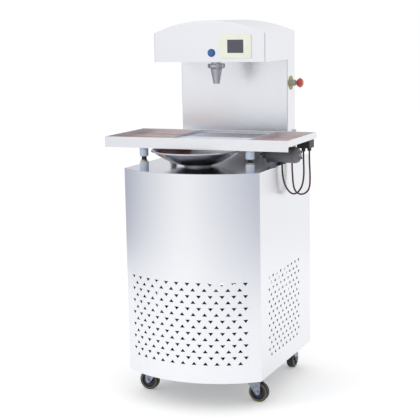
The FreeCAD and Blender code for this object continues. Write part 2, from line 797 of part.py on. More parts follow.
def condenser():
    """A block of fins on flat tubes between two end plates."""
    half = condenser_width / 2
    y0, y1 = condenser_y, condenser_y + condenser_depth
    z0, z1 = condenser_z, condenser_z + condenser_height
    ends = [box(s * half - 1.5, s * half + 1.5, y0, y1, z0 - 20.0, z1) for s in (-1, 1)]
    fins = []
    count = int(condenser_width / fin_pitch)
    for index in range(1, count):
        x = -half + index * condenser_width / count
        fins.append(box(x - 0.5, x + 0.5, y0 + 2, y1 - 2, z0 + 4, z1 - 4))
    tubes = []
    for row in range(4):
        z = z0 + condenser_height * (row + 0.5) / 4
        tubes.append(box(-half, half, y0 + 10, y1 - 10, z - 1.5, z + 1.5))
    return ends[0].fuse([ends[1]] + fins + tubes)


def fan_shroud():
    """A square plate with a round ring that the fan turns in, and the spider that holds its motor."""
    half = condenser_width / 2
    y = condenser_y + condenser_depth
    z0, z1 = condenser_z, condenser_z + condenser_height
    centre = V(0, y, (z0 + z1) / 2)
    face = box(-half, half, y, y + sheet, z0, z1)
    ring = rod(fan_radius + 5.0, centre, centre + V(0, fan_ring, 0))
    body = face.fuse(ring).cut(rod(fan_radius + 3.0, centre - V(0, 1, 0), centre + V(0, fan_ring + 1, 0)))
    rear = y + fan_ring
    arm = box(-fan_radius - 5.0, fan_radius + 5.0, rear, rear + 4.0, centre.z - 8, centre.z + 8)
    upright = box(-8, 8, rear, rear + 4.0, centre.z - fan_radius - 5.0, centre.z + fan_radius + 5.0)
    spider = arm.fuse(upright).cut(rod(5.0, centre, centre + V(0, 60, 0)))
    return body.fuse(spider)


def fan_motor():
    y = condenser_y + condenser_depth + fan_ring + 4.0
    centre = V(0, y, condenser_z + condenser_height / 2)
    return turned([(0, 0), (30, 0), (36, 6), (36, 44), (28, 52), (0, 52)], centre, V(0, 1, 0))


def fan_blade():
    """Hub and pitched blades on the fan motor's shaft."""
    y = condenser_y + condenser_depth
    centre = V(0, y + 4.0, condenser_z + condenser_height / 2)
    hub = rod(fan_hub_radius, centre, centre + V(0, fan_ring - 8.0, 0))
    shaft = rod(4.5, centre, centre + V(0, fan_ring, 0))
    blades = []
    for index in range(fan_blades):
        blade = box(-26, 26, -1, 1, fan_hub_radius - 3, fan_radius - 3.0)
        blade.rotate(V(0, 0, 0), Z, 22.0)
        blade.translate(V(0, fan_ring / 2 - 4.0, 0))
        blade.rotate(V(0, 0, 0), V(0, 1, 0), 360.0 * index / fan_blades)
        blades.append(blade.translated(centre))
    return hub.fuse([shaft] + blades)


def control_box():
    """The electrical enclosure, standing on the base pan."""
    x0 = -half_width + control_box_inset
    x1 = x0 + control_box_depth
    y0 = corner_y + control_box_setback
    y1 = y0 + control_box_width
    z0 = cabinet_base_z + plate
    z1 = z0 + control_box_height
    body = box(x0, x1, y0, y1, z0, z1)
    body = body.cut(box(x0 + plate, x1, y0 + plate, y1 - plate, z0 + plate, z1 - plate))
    lid = box(x1, x1 + plate, y0, y1, z0, z1)
    return [body, lid]


# ---- table ----------------------------------------------------------------------------------------------

def table_rim():
    """Front fascia and three lower flanges, mitred at the corners."""
    x0, x1 = -table_width / 2, table_width / 2
    y0, y1 = table_front_y, table_back_y
    low = table_top_z - rim_height
    t = sheet * 2
    front = box(x0, x1, y0, y0 + t, table_top_z - fascia_height, table_top_z)
    back = box(x0, x1, y1 - t, y1, low, table_top_z)
    left = box(x0, x0 + t, y0 + t, y1 - t, low, table_top_z)
    right = box(x1 - t, x1, y0 + t, y1 - t, low, table_top_z)
    long_bars = [rounded(bar, soft_edge, lambda e: at_height(e, table_top_z)) for bar in (front, back)]
    short_bars = [rounded(bar, soft_edge, lambda e: at_height(e, table_top_z) and runs_along(e, V(0, 1, 0)))
                  for bar in (left, right)]
    return long_bars + short_bars


def table_floor():
    """Well floors left and right, and the ledges round the opening over the bowl."""
    t = sheet * 2
    x0, x1 = -table_width / 2 + t, table_width / 2 - t
    y0, y1 = table_front_y + t, table_back_y - t
    left = left_divider_x + mould_seat
    right = right_divider_x - mould_seat
    z0, z1 = floor_bottom_z, floor_top_z
    plates = [box(x0, left, y0, y1, z0, z1), box(right, x1, y0, y1, z0, z1)]
    plates.append(box(left, right, y0, y0 + mould_seat, z0, z1))
    plates.append(box(left, right, y1 - mould_seat, y1, z0, z1))
    plates.append(box(left, right, mould_split_y - mould_seat, mould_split_y + mould_seat, z0, z1))
    return plates


def table_dividers():
    t = sheet * 2
    y0, y1 = table_front_y + t, table_back_y - t
    z0 = floor_top_z
    return [box(x - t / 2, x + t / 2, y0, y1, z0, z0 + divider_height) for x in (left_divider_x, right_divider_x)]


def table_rails():
    """Two channels under the floor that stand on the buffers."""
    rails = []
    y0, y1 = table_front_y + 2 * sheet, table_back_y - 2 * sheet
    for x in (-buffer_x, buffer_x):
        half = rail_width / 2
        rail = box(x - half, x + half, y0, y1, rail_bottom_z, floor_bottom_z)
        hollow = box(x - half + 3, x + half - 3, y0 - 1, y1 + 1, rail_bottom_z + 3, floor_bottom_z + 1)
        rails.append(rail.cut(hollow))
    return rails


def centre_bay():
    """Inside of the opening between the dividers, less the play of the lift-out pieces."""
    x0 = left_divider_x + sheet + lift_gap
    x1 = right_divider_x - sheet - lift_gap
    y0 = table_front_y + 2 * sheet + lift_gap
    y1 = table_back_y - 2 * sheet - lift_gap
    return x0, x1, y0, y1


def mould_plate():
    """A flat lift-out plate with turned-down edges, where a mould is set down and scraped."""
    x0, x1, y0, y1 = centre_bay()
    y1 = mould_split_y - lift_gap
    z0, z1 = floor_top_z, floor_top_z + mould_height
    t = plate
    return box(x0, x1, y0, y1, z0, z1).cut(box(x0 + t, x1 - t, y0 + t, y1 - t, z0 - 1, z1 - t))


def mould_grate():
    """A lift-out grate: a flat frame filled with round bars that run from side to side."""
    x0, x1, y0, y1 = centre_bay()
    y0 = mould_split_y + lift_gap
    z0, z1 = floor_top_z, floor_top_z + mould_height - 3.0
    t = 6.0
    frame = box(x0, x1, y0, y1, z0, z1).cut(box(x0 + t, x1 - t, y0 + t, y1 - t, z0 - 1, z1 + 1))
    count = int((y1 - y0 - 2 * t) / grate_pitch)
    gap = (y1 - y0 - 2 * t) / count
    z = (z0 + z1) / 2
    bars = []
    for index in range(1, count):
        y = y0 + t + index * gap
        bars.append(rod(grate_bar / 2, V(x0 + t / 2, y, z), V(x1 - t / 2, y, z)))
    return frame.fuse(bars)


# ---- buffers --------------------------------------------------------------------------------------------

def buffer_feet():
    base = cabinet_top_z
    foot = turned([(0, base), (buffer_radius, base), (buffer_radius, base + buffer_foot_height - 2),
                   (buffer_radius - 2, base + buffer_foot_height), (0, base + buffer_foot_height)], V(0, 0, 0))
    return at_places(foot, buffer_places)


def buffer_necks():
    """The rubber-bonded studs between the feet and the caps."""
    base = cabinet_top_z + buffer_foot_height
    r = buffer_neck_radius
    return at_places(rod(r, V(0, 0, base), V(0, 0, base + buffer_neck_height)), buffer_places)


def buffer_nuts():
    base = cabinet_top_z + buffer_foot_height
    nut = prism_nut(buffer_nut_radius, buffer_nut_height).translated(V(0, 0, base))
    nut = nut.cut(rod(buffer_neck_radius, V(0, 0, base), V(0, 0, base + buffer_nut_height)))
    return at_places(nut, buffer_places)


def buffer_caps():
    base = cabinet_top_z + buffer_foot_height + buffer_neck_height
    cap = turned([(0, base), (buffer_radius - 2, base), (buffer_radius, base + 2), (buffer_radius, rail_bottom_z),
                  (0, rail_bottom_z)], V(0, 0, 0))
    return at_places(cap, buffer_places)


# ---- vibrator and wiring ----------------------------------------------------------------------------------

def vibrator_motor():
    """A vibrator motor lying crosswise: finned body, domed outer cover, bearing boss at its inner end."""
    r, length = vibrator_radius, vibrator_length
    profile = [(0, 0), (5, 0), (5, 12), (16, 12), (16, 26), (r - 8, 30), (r + 2, 34), (r + 2, 40), (r - 2, 40),
               (r - 2, length - 62), (r, length - 62), (r, length - 16), (r - 5, length - 5), (r - 14, length), (0, length)]
    motor = turned(profile, V(vibrator_x, vibrator_y, vibrator_z), V(1, 0, 0))
    head = prism_nut(cover_bolt_radius, cover_bolt_height)
    head.rotate(V(0, 0, 0), V(0, 1, 0), 90)
    bolts = []
    for index in range(cover_bolts):
        angle = math.radians(45 + 360 * index / cover_bolts)
        across = V(0, math.cos(angle), math.sin(angle)) * (r - 15)
        bolts.append(head.translated(V(vibrator_x + length - 1, vibrator_y, vibrator_z) + across))
    return motor.fuse(bolts)


def vibrator_bracket():
    """A saddle from the well floor down on to the vibrator's body."""
    x0 = vibrator_x + 52.0
    x1 = vibrator_x + vibrator_length - 66.0
    half = vibrator_radius - 6.0
    saddle = box(x0, x1, vibrator_y - half, vibrator_y + half, vibrator_z, floor_bottom_z)
    hollow = box(x0 - 1, x1 + 1, vibrator_y - half + 4, vibrator_y + half - 4, vibrator_z + vibrator_radius + 4,
                 floor_bottom_z - 4)
    body = rod(vibrator_radius - 2, V(x0 - 1, vibrator_y, vibrator_z), V(x1 + 1, vibrator_y, vibrator_z))
    return saddle.cut(hollow).cut(body)


def junction_box():
    """The terminal box under the rear of the right-hand well, with a gland under it for each cable."""
    x0, x1 = black_end.x - 22.0, red_end.x + 16.0
    y0, y1 = black_end.y - 18.0, red_end.y + 12.0
    z0 = black_end.z + gland_length
    case = box(x0, x1, y0, y1, z0, floor_bottom_z)
    glands = [rod(gland_radius, end, end + V(0, 0, gland_length)) for end in (black_end, red_end)]
    motor_gland = rod(gland_radius, black_start, V(black_start.x, black_start.y, vibrator_z))
    body = rod(vibrator_radius - 2, V(vibrator_x + 41, vibrator_y, vibrator_z),
               V(vibrator_x + vibrator_length, vibrator_y, vibrator_z))
    return [case.fuse(glands), motor_gland.cut(body)]


def deck_cable_outlet():
    """A small box on the deck's edge; its gland points down outside the cabinet."""
    low = red_start.z + gland_length
    y0, y1 = red_start.y - 15.0, red_start.y + 15.0
    block = box(red_start.x - 52.0, red_start.x + 12.0, y0, y1, low, low + 20.0)
    foot = box(red_start.x - 52.0, half_width - 4.0, y0, y1, cabinet_top_z, low)
    gland = rod(gland_radius, red_start, red_start + V(0, 0, gland_length))
    return block.fuse([foot, gland])


# Routes of the two hanging cables, from gland to gland, as steps from the deck's right-hand front corner
black_steps = [(13, 223, 9), (13, 223, -23), (16, 229, -60), (22, 251, -95), (31, 286, -121),
               (42, 322, -123), (53, 349, -101), (59, 357, -63), (61, 352, -23), (61, 348, 14),
               (61, 348, 45)]
red_steps = [(15, 340, 0), (15, 340, -28), (17, 341, -57), (18, 342, -85), (23, 345, -112),
             (34, 352, -128), (51, 363, -133), (67, 373, -124), (76, 379, -106), (78, 381, -80),
             (78, 380, -50), (77, 379, -19), (76, 378, 13), (76, 378, 45)]
deck_corner = V(half_width, corner_y, cabinet_top_z)
black_route = [deck_corner + V(*step) for step in black_steps]
red_route = [deck_corner + V(*step) for step in red_steps]
black_start, black_end = black_route[0], black_route[-1]
red_start, red_end = red_route[0], red_route[-1]


def cable(route):
    """A round lead: straight runs joined by tangent arcs, each as large as its runs allow."""
    edges = []
    radii = []
    start = route[0]
    for before, corner, after in zip(route, route[1:], route[2:]):
        arrive = (corner - before).normalize()
        leave = (after - corner).normalize()
        turn = arrive.getAngle(leave)
        set_back = 0.45 * min(before.distanceToPoint(corner), corner.distanceToPoint(after))
        radius = set_back / math.tan(turn / 2)
        first = corner - arrive * set_back
        last = corner + leave * set_back
        middle = corner + (leave - arrive).normalize() * (radius / math.cos(turn / 2) - radius)
        edges.append(Part.LineSegment(start, first).toShape())
        edges.append(Part.Arc(first, middle, last).toShape())
        radii.append(radius)
        start = last
    edges.append(Part.LineSegment(start, route[-1]).toShape())
    path = Part.Wire(edges)
    section = Part.Face(Part.Wire(Part.makeCircle(cable_diameter / 2, route[0], route[1] - route[0])))
    lead = path.makePipe(section)
    ideal = path.Length * math.pi * cable_diameter ** 2 / 4
    print("cable radii", [round(r) for r in radii], "length", round(path.Length, 1),
          "volume ratio", round(lead.Volume / ideal, 4))
    return lead


# ---- casters ----------------------------------------------------------------------------------------------

crown_top_z = cabinet_base_z - caster_plate_thickness - 6.0
leg_inner = wheel_width / 2 + fork_gap
caster_places = {
    "front_right": (caster_x, corner_y + caster_front, 0.0),
    "front_left": (-caster_x, corner_y + caster_front, 180.0),
    "rear_right": (caster_x, back_y - caster_trail - wheel_radius, 90.0),
    "rear_left": (-caster_x, back_y - caster_trail - wheel_radius, 90.0),
}


def at_caster(solid, place):
    x, y, heading = place
    turned_solid = solid.copy()
    turned_solid.rotate(V(0, 0, 0), Z, heading)
    return turned_solid.translated(V(x, y, 0))


def caster_plate():
    """Top plate, ball race and kingpin with its nut."""
    half = caster_plate_size / 2
    top = cabinet_base_z
    low = top - caster_plate_thickness
    top_plate = box(-half, half, -half * 0.8, half * 0.8, low, top)
    race = rod(26.0, V(0, 0, crown_top_z), V(0, 0, low))
    pin = rod(kingpin_radius, V(0, 0, crown_top_z - fork_plate - 1.0), V(0, 0, crown_top_z))
    nut = rod(kingpin_radius + 3.0, V(0, 0, crown_top_z - fork_plate - 6.0), V(0, 0, crown_top_z - fork_plate - 0.3))
    return top_plate.fuse([race, pin, nut])


def caster_fork():
    """A pressed fork: crown plate and two tapering legs, with the wheel's axle bolt through them."""
    outer = leg_inner + fork_plate
    top = crown_top_z
    crown = box(-28, 36, -outer, outer, top - fork_plate, top)
    crown = crown.cut(rod(kingpin_radius + running_gap, V(0, 0, top - 9), V(0, 0, top + 1)))
    axle = V(caster_trail, 0, wheel_radius)
    outline = [V(-28, 0, top), V(36, 0, top), V(caster_trail + 11, 0, axle.z), V(caster_trail + 7, 0, axle.z - 8.5),
               V(caster_trail - 1, 0, axle.z - 11), V(caster_trail - 9, 0, axle.z - 6), V(-28, 0, top - 12)]
    leg = slab(outline, V(0, fork_plate, 0))
    legs = [leg.translated(V(0, leg_inner, 0)), leg.translated(V(0, -outer, 0))]
    fork = crown.fuse(legs)
    bolt = rod(axle_radius, axle - V(0, outer, 0), axle + V(0, outer, 0))
    heads = [rod(7.0, axle + V(0, outer, 0), axle + V(0, outer + 4, 0)),
             rod(7.0, axle - V(0, outer + 4, 0), axle - V(0, outer, 0))]
    return fork.fuse([bolt] + heads)


def caster_wheel():
    """A dished hub with a bonded tread."""
    r, w = wheel_radius - tread, wheel_width / 2
    bore = axle_radius + running_gap
    boss = w + fork_gap - 0.5
    axle = V(caster_trail, 0, wheel_radius)
    hub = turned([(bore, -boss), (11, -boss), (11, -w + 7), (r - 5, -w + 5), (r - 3, -w), (r, -w),
                  (r, w), (r - 3, w), (r - 5, w - 5), (11, w - 7), (11, boss), (bore, boss)], axle, V(0, 1, 0))
    rim = wheel_radius
    tyre = turned([(r, -w), (rim - 4, -w), (rim, -w + 5), (rim, w - 5), (rim - 4, w), (r, w)], axle, V(0, 1, 0))
    return [hub, tyre]


# ---- build ------------------------------------------------------------------------------------------------

export("base_pan", base_pan())
export("chassis_frame", *chassis_frame())
export("front_panel", front_panel())
export("side_panel_left", side_panel(-1))
export("side_panel_right", side_panel(1))
export("back_panel", back_panel())
export("cover_screws", *cover_screw_holes(0))
export("deck_plate", deck_plate())
export("column_shell", column_shell())
export("head_shell", head_shell())
export("head_underside", head_underside())
export("housing_back_cover", housing_back_cover())
export("delivery_pipe", delivery_pipe())
export("spout_nut", spout_nut())
export("spout_nozzle", spout_nozzle())
export("screen_bezel", screen_bezel())
export("screen_glass", screen_glass())
export("button_collar", button_collar())
export("dispense_button", dispense_button())
export("estop_plate", estop_plate())
export("estop_collar", estop_collar())
export("estop_stem", estop_stem())
export("estop_mushroom", estop_mushroom())
export("bowl", bowl())
export("bowl_collar", bowl_collar())
export("suction_pipe", suction_pipe())
export("auger_tube", auger_tube())
export("auger_screw", auger_screw())
export("gear_motor", gear_motor())
export("motor_stand", *motor_stand())
export("compressor", compressor())
export("condenser", condenser())
export("fan_shroud", fan_shroud())
export("fan_motor", fan_motor())
export("fan_blade", fan_blade())
export("control_box", *control_box())
export("table_rim", *table_rim())
export("table_floor", *table_floor())
export("table_dividers", *table_dividers())
export("table_rails", *table_rails(), vibrator_bracket())
export("mould_plate", mould_plate())
export("mould_grate", mould_grate())
export("buffer_feet", *buffer_feet())
export("buffer_necks", *buffer_necks())
export("buffer_nuts", *buffer_nuts())
export("buffer_caps", *buffer_caps())
export("vibrator_motor", vibrator_motor())
export("junction_box", *junction_box())
export("deck_cable_outlet", deck_cable_outlet())
export("cable_black", cable(black_route))
export("cable_red", cable(red_route))
export("caster_plates", *[at_caster(caster_plate(), place) for place in caster_places.values()])
for corner, place in caster_places.items():
    export("caster_fork_" + corner, at_caster(caster_fork(), place))
    export("caster_wheel_" + corner, *[at_caster(solid, place) for solid in caster_wheel()])
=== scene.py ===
import math

import bmesh
import bpy
from mathutils import Euler, Matrix, Vector


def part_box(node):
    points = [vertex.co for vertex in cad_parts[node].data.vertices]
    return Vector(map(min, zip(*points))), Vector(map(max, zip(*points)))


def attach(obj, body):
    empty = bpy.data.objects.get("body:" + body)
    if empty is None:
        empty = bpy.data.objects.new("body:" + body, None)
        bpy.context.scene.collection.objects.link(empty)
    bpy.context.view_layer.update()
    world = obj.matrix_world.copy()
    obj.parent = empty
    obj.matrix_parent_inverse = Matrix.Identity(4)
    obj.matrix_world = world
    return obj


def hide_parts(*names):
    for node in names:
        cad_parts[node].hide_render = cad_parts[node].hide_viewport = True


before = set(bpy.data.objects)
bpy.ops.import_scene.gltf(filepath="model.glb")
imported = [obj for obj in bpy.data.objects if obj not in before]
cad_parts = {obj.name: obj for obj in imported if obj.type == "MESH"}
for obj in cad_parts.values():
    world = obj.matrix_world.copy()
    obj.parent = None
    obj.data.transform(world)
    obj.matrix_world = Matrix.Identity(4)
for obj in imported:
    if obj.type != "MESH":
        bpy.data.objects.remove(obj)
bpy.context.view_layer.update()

bl_info = {
    "name": "Chocolate tempering machine",
    "version": (1, 0, 0),
    "blender": (4, 5, 0),
    "location": "View3D > Sidebar > Tempering",
    "description": "Dresses the packed frame of a chocolate tempering machine",
    "category": "Object",
}

CORNERS = ("front_right", "front_left", "rear_right", "rear_left")

# Routes of the two hanging cables, gland to gland, in metres
BLACK_ROUTE = [
    (0.298, -0.033, 0.940), (0.298, -0.033, 0.908), (0.301, -0.027, 0.871),
    (0.307, -0.005, 0.836), (0.316, 0.030, 0.810), (0.327, 0.066, 0.808),
    (0.338, 0.093, 0.830), (0.344, 0.101, 0.868), (0.346, 0.096, 0.908),
    (0.346, 0.092, 0.945), (0.346, 0.092, 0.976),
]
RED_ROUTE = [
    (0.300, 0.084, 0.931), (0.300, 0.084, 0.903), (0.302, 0.085, 0.874),
    (0.303, 0.086, 0.846), (0.308, 0.089, 0.819), (0.319, 0.096, 0.803),
    (0.336, 0.107, 0.798), (0.352, 0.117, 0.807), (0.361, 0.123, 0.825),
    (0.363, 0.125, 0.851), (0.363, 0.124, 0.881), (0.362, 0.123, 0.912),
    (0.361, 0.122, 0.944), (0.361, 0.122, 0.976),
]
CABLE_ORDER = 3
CABLE_STEPS = 10
CABLE_ROUND_STEPS = 6

# Grains in a metre along X, Y and Z: the brushing runs along the small number
PANEL_GRAIN = (420.0, 420.0, 14.0)
HOUSING_GRAIN = (520.0, 520.0, 10.0)
DECK_GRAIN = (380.0, 14.0, 380.0)
RIM_GRAIN = (10.0, 420.0, 420.0)
MOULD_PLATE_GRAIN = (12.0, 400.0, 400.0)

# Distances from the axle at which a caster wheel changes its look, in metres
HUB_REACH = 0.0305
TYRE_SIDE_REACH = 0.0365

SENSOR_WIDTH = 36.0
CLIP_END = 50.0

# The stage, in metres
FLOOR_HALF_WIDTH = 14.0
WALL_RADIUS = 3.0
WALL_HEIGHT = 5.0
WALL_SEGMENTS = 96
LAMP_AIM = Vector((0.0, 0.0, 0.8))
KEY_PLACE, KEY_WIDTH = (-2.2, -3.0, 3.4), 2.4
FILL_PLACE, FILL_WIDTH = (3.2, -0.6, 2.6), 2.0

# How the wall's brightness changes with the angle from its brightest heading, in radians
FRONT_FALL = 0.62
BACK_RISE = 0.9
BACK_OFFSET = 1.55

BLACK = (0.0, 0.0, 0.0)


# ---- settings ---------------------------------------------------------------------------------

class CameraSettings(bpy.types.PropertyGroup):
    """Where the camera stands and how it looks at the machine."""
    place: bpy.props.FloatVectorProperty(
        name="Place", description="Where the camera stands",
        subtype="TRANSLATION", unit="LENGTH", default=(1.8137, -4.4241, 1.5174))
    tilt: bpy.props.FloatProperty(
        name="Tilt", description="Upward tilt from straight down",
        subtype="ANGLE", default=math.radians(80.713))
    heading: bpy.props.FloatProperty(
        name="Heading", description="Turn about the vertical",
        subtype="ANGLE", default=math.radians(22.594))
    roll: bpy.props.FloatProperty(
        name="Roll", description="Turn about the line of sight",
        subtype="ANGLE", default=math.radians(-0.958))
    lens: bpy.props.FloatProperty(
        name="Lens", description="Focal length in millimetres on a 36 mm sensor", default=101.4)


class StageSettings(bpy.types.PropertyGroup):
    """Floor, surroundings and lamps."""
    floor_colour: bpy.props.FloatVectorProperty(
        name="Floor", description="Colour of the floor",
        subtype="COLOR", default=(0.97, 0.97, 0.97), min=0, max=1)
    floor_lift: bpy.props.FloatProperty(
        name="Floor lift", description="Extra white of the floor, as seen and in gloss",
        default=0.22)
    sky_light: bpy.props.FloatProperty(
        name="Sky light", description="Strength of the even light all round", default=0.85)
    key_power: bpy.props.FloatProperty(
        name="Key lamp", description="Power of the large lamp at the front left",
        subtype="POWER", default=26.0)
    fill_power: bpy.props.FloatProperty(
        name="Fill lamp", description="Power of the lamp at the right",
        subtype="POWER", default=8.0)
    wall_dark: bpy.props.FloatVectorProperty(
        name="Wall at the sides", description="Dim part of the wall that the steel mirrors",
        subtype="COLOR", default=(0.40, 0.43, 0.52), min=0, max=1)
    wall_bright: bpy.props.FloatVectorProperty(
        name="Wall in front", description="Bright part of that wall",
        subtype="COLOR", default=(1.0, 1.0, 1.0), min=0, max=1)
    wall_heading: bpy.props.FloatProperty(
        name="Bright heading", description="Which way the bright part lies, from the front",
        subtype="ANGLE", default=math.radians(-16.0))


class SteelSettings(bpy.types.PropertyGroup):
    """Colours and gloss of the stainless sheet."""
    satin: bpy.props.FloatVectorProperty(
        name="Satin sheet", description="Colour of the brushed panels",
        subtype="COLOR", default=(0.84, 0.85, 0.88), min=0, max=1)
    polished: bpy.props.FloatVectorProperty(
        name="Polished", description="Colour of the bowl and the spout",
        subtype="COLOR", default=(0.66, 0.67, 0.70), min=0, max=1)
    copper: bpy.props.FloatVectorProperty(
        name="Well floors", description="Colour of the chocolate-stained well floors",
        subtype="COLOR", default=(0.34, 0.17, 0.14), min=0, max=1)
    satin_roughness: bpy.props.FloatProperty(
        name="Satin roughness", description="How blurred the panels' gloss is",
        default=0.30, min=0, max=1)


class PartSettings(bpy.types.PropertyGroup):
    """Colours of plastic, rubber and paint."""
    sleeve: bpy.props.FloatVectorProperty(
        name="Sleeves", description="Pale plastic of the buffer sleeves",
        subtype="COLOR", default=(0.52, 0.60, 0.72), min=0, max=1)
    bezel: bpy.props.FloatVectorProperty(
        name="Screen frame", description="Cream plastic round the screen",
        subtype="COLOR", default=(0.88, 0.90, 0.76), min=0, max=1)
    screen: bpy.props.FloatVectorProperty(
        name="Screen", description="Dark display",
        subtype="COLOR", default=(0.075, 0.07, 0.10), min=0, max=1)
    button: bpy.props.FloatVectorProperty(
        name="Button", description="Blue push button",
        subtype="COLOR", default=(0.03, 0.11, 0.34), min=0, max=1)
    stop_red: bpy.props.FloatVectorProperty(
        name="Stop", description="Red of the emergency stop",
        subtype="COLOR", default=(0.55, 0.06, 0.03), min=0, max=1)
    stop_yellow: bpy.props.FloatVectorProperty(
        name="Stop plate", description="Yellow plate behind the stop",
        subtype="COLOR", default=(0.42, 0.38, 0.10), min=0, max=1)
    tyre_ring: bpy.props.FloatVectorProperty(
        name="Tyre ring", description="Olive ring of the caster tyres",
        subtype="COLOR", default=(0.13, 0.12, 0.04), min=0, max=1)
    cable_width: bpy.props.FloatProperty(
        name="Cable", description="Diameter of the hanging cables",
        unit="LENGTH", default=0.007)


# ---- material tools ---------------------------------------------------------------------------

class Field:
    """One output of a node. Arithmetic on a number that varies adds Math nodes."""

    def __init__(self, graph, socket):
        self.graph = graph
        self.socket = socket

    def __add__(self, other):
        return self.graph.math("ADD", self, other)

    def __radd__(self, other):
        return self.graph.math("ADD", other, self)

    def __sub__(self, other):
        return self.graph.math("SUBTRACT", self, other)

    def __rsub__(self, other):
        return self.graph.math("SUBTRACT", other, self)

    def __mul__(self, other):
        return self.graph.math("MULTIPLY", self, other)

    def __rmul__(self, other):
        return self.graph.math("MULTIPLY", other, self)

    def __gt__(self, other):
        return self.graph.math("GREATER_THAN", self, other)

    def __lt__(self, other):
        """Also the reflected form of >, with the number first."""
        return self.graph.math("LESS_THAN", self, other)

    def between(self, low, high):
        """0 below low, 1 above high, smooth in between."""
        return self.graph.add("ShaderNodeMapRange", {"interpolation_type": "SMOOTHSTEP"},
                              {"Value": self, "From Min": low, "From Max": high}, "Result")


class Graph:
    """A tree of shader nodes, with one method that adds each of them."""

    def __init__(self, tree):
        self.tree = tree

    def add(self, kind, settings=None, inputs=None, output=0):
        """Add a node: its settings first, then a value or a link for each socket."""
        node = self.tree.nodes.new(kind)
        for name, value in (settings or {}).items():
            setattr(node, name, value)
        for key, value in (inputs or {}).items():
            self.feed(node.inputs[key], value)
        return Field(self, node.outputs[output])

    def feed(self, target, value):
        """Link a field to a socket, or set the socket's own value."""
        if isinstance(value, Field):
            self.tree.links.new(value.socket, target)
        else:
            target.default_value = value

    def math(self, operation, *values, clamp=False):
        return self.add("ShaderNodeMath", {"operation": operation, "use_clamp": clamp},
                        dict(enumerate(values)))

    def vector(self, operation, *values, output="Vector"):
        return self.add("ShaderNodeVectorMath", {"operation": operation},
                        dict(enumerate(values)), output)

    def seen_share(self):
        """1 for camera, gloss and transmission rays, 0 for the rest."""
        camera, gloss, through = (
            self.add("ShaderNodeLightPath", output=kind)
            for kind in ("Is Camera Ray", "Is Glossy Ray", "Is Transmission Ray"))
        return self.math("MAXIMUM", self.math("MAXIMUM", camera, gloss), through)


class Finish(Graph):
    """One procedural material: its shader, and short names for the nodes that a finish needs."""

    def __init__(self, name, colour, roughness, metallic=0.0):
        self.material = bpy.data.materials.new(name)
        self.material.use_nodes = True
        super().__init__(self.material.node_tree)
        self.shader = self.tree.nodes["Principled BSDF"]
        self.shader.inputs["Base Color"].default_value = (*colour, 1.0)
        self.shader.inputs["Roughness"].default_value = roughness
        self.shader.inputs["Metallic"].default_value = metallic
        self.place = self.add("ShaderNodeTexCoord", output="Object")

    def noise(self, grains, detail=2.0, rough=0.5):
        """Soft noise from 0 to 1; grains is how many fit in a metre along X, Y and Z."""
        stretched = self.add("ShaderNodeMapping", inputs={"Vector": self.place, "Scale": grains})
        return self.add("ShaderNodeTexNoise", inputs={
            "Vector": stretched, "Scale": 1.0, "Detail": detail, "Roughness": rough})

    def distance(self, centre, keep):
        """Distance from a centre, ignoring the axes whose entry in keep is 0."""
        offset = self.vector("SUBTRACT", self.place, centre)
        return self.vector("LENGTH", self.vector("MULTIPLY", offset, keep), output="Value")

    def mixed(self, share, first, second):
        """A colour from first to second, by a share that varies."""
        colours = [colour if isinstance(colour, Field) else (*colour[:3], 1.0)
                   for colour in (first, second)]
        return self.add("ShaderNodeMix", {"data_type": "RGBA"},
                        {0: share, 6: colours[0], 7: colours[1]}, 2)

    def paint(self, colour):
        self.feed(self.shader.inputs["Base Color"], colour)

    def roughness(self, field):
        self.feed(self.shader.inputs["Roughness"], field)

    def glow(self, colour):
        self.shader.inputs["Emission Strength"].default_value = 1.0
        self.feed(self.shader.inputs["Emission Color"], colour)

    def bump(self, field, depth, strength):
        self.feed(self.shader.inputs["Normal"], self.add("ShaderNodeBump", inputs={
            "Distance": depth, "Strength": strength, "Height": field}, output="Normal"))

    def set(self, **values):
        for name, value in values.items():
            self.shader.inputs[name.replace("_", " ")].default_value = value


def even(grains):
    """The same number of grains along all three axes."""
    return (grains, grains, grains)


def scaled(colour, share):
    return tuple(min(1.0, channel * share) for channel in colour[:3])


# ---- finishes ---------------------------------------------------------------------------------

def satin_sheet(name, colour, roughness, grain, smudge=0.04):
    """Brushed stainless: fine grain along one direction, faint cloudy smudges."""
    finish = Finish(name, colour, roughness, 1.0)
    streaks = finish.noise(grain, 3.0, 0.6)
    clouds = finish.noise(even(5.0))
    tone = streaks * 0.06 + clouds * smudge
    shade = finish.math("MULTIPLY", tone, 5.0, clamp=True)
    finish.paint(finish.mixed(shade, scaled(colour, 1.03), scaled(colour, 0.93)))
    finish.roughness(streaks * 0.08 + clouds * 0.06 + (roughness - 0.07))
    finish.bump(streaks, 0.00002, 0.25)
    return finish.material


def polished_steel(name, colour, roughness=0.16, ripple=0.0):
    """Polished stainless with faint handling marks, or spun rings."""
    finish = Finish(name, colour, roughness, 1.0)
    marks = finish.noise(even(60.0), 3.0, 0.6)
    clouds = finish.noise(even(12.0))
    finish.paint(finish.mixed(clouds, scaled(colour, 1.08), scaled(colour, 0.86)))
    finish.roughness(marks * 0.10 + (roughness - 0.05))
    finish.bump(clouds if ripple else marks, ripple or 0.00003, 0.5)
    return finish.material


def stained_steel(name, colour, bright):
    """The wells' floors: smooth metal with a thin brown film of chocolate, thinner in patches."""
    finish = Finish(name, colour, 0.30, 1.0)
    film = finish.noise((9.0, 14.0, 9.0), 4.0, 0.6).between(0.42, 0.66)
    specks = finish.noise(even(140.0), 2.0, 0.6)
    finish.paint(finish.mixed(film, colour, bright))
    finish.roughness(specks * 0.16 + 0.22)
    finish.bump(specks, 0.00008, 0.4)
    return finish.material


